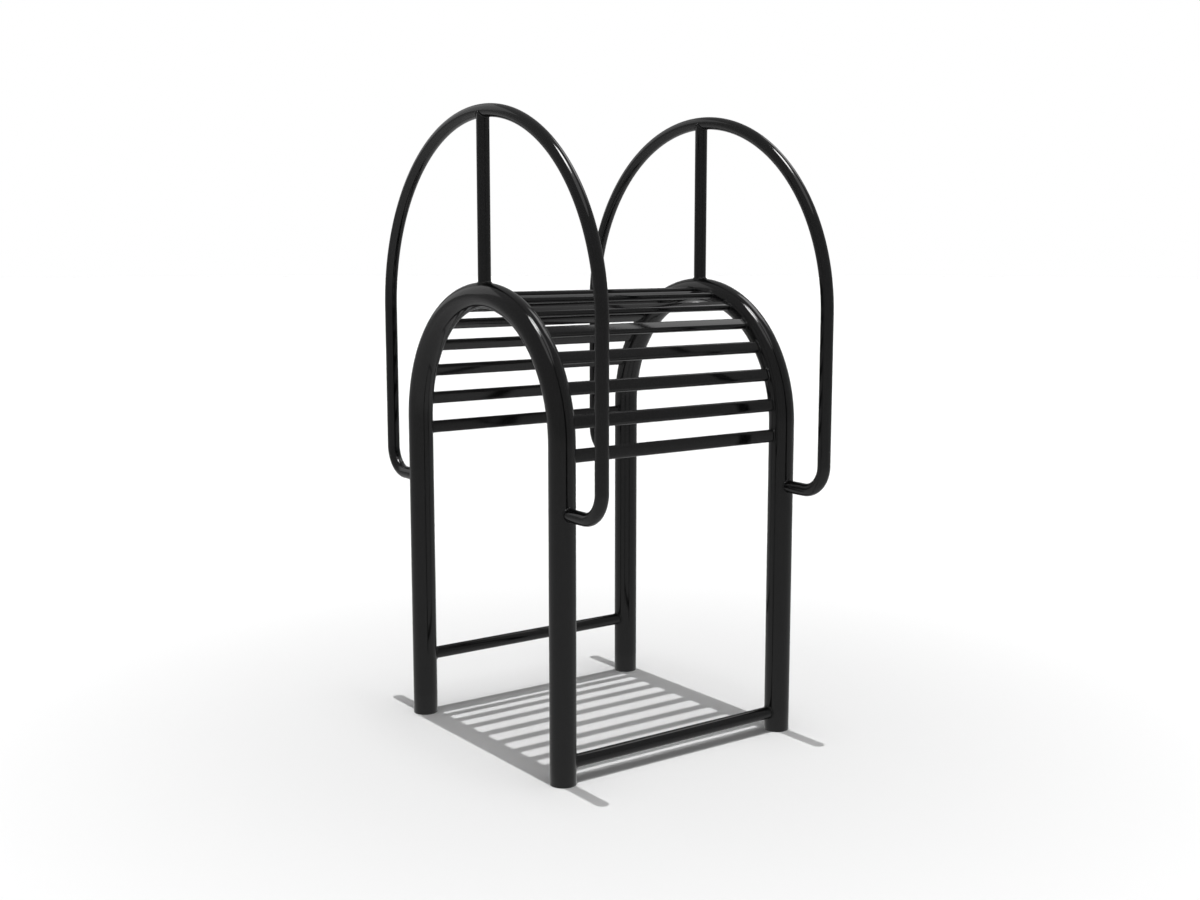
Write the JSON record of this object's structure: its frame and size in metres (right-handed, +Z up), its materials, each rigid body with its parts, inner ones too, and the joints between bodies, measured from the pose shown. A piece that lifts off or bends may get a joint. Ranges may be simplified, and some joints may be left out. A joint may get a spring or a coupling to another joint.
{
  "type": "monkey bars",
  "caption": "Free-standing arched climbing frame of welded steel tube: a curved run of flat rungs between the arches, a tall grip hoop over each arch, low crossbars between the legs.",
  "frame": {"origin": "on the floor, midway between the four legs", "axes": "+X across the span of the arches, towards the side with the low crossbar; +Y along the rungs, from the front arch to the rear arch; +Z up"},
  "size_m": [1.1922, 0.8798, 1.8889],
  "materials": {
    "tube_coat": "gloss",
    "weld_coat": "gloss",
    "foot_plate_coat": "satin",
    "inner_weld": "matte"
  },
  "bodies": {
    "root": {"front_arch": "tube_coat", "rear_arch": "tube_coat", "front_hoop": "tube_coat", "rear_hoop": "tube_coat", "front_strut": "tube_coat", "rear_strut": "tube_coat", "left_crossbar": "tube_coat", "right_crossbar": "tube_coat", "rung_01": "tube_coat", "rung_02": "tube_coat", "rung_03": "tube_coat", "rung_04": "tube_coat", "rung_05": "tube_coat", "rung_06": "tube_coat", "rung_07": "tube_coat", "rung_08": "tube_coat", "rung_09": "tube_coat", "rung_10": "tube_coat", "rung_11": "tube_coat", "rung_12": "tube_coat", "rung_13": "tube_coat", "rung_14": "tube_coat", "rung_15": "tube_coat", "front_left_foot_plate": "foot_plate_coat", "front_right_foot_plate": "foot_plate_coat", "rear_left_foot_plate": "foot_plate_coat", "rear_right_foot_plate": "foot_plate_coat", "front_strut_welds": "weld_coat", "rear_strut_welds": "weld_coat", "front_hoop_welds": "weld_coat", "rear_hoop_welds": "weld_coat", "front_rung_welds": "weld_coat", "rear_rung_welds": "weld_coat", "left_crossbar_welds": "weld_coat", "right_crossbar_welds": "weld_coat", "foot_plate_welds": "inner_weld"}
  },
  "joints": []
}
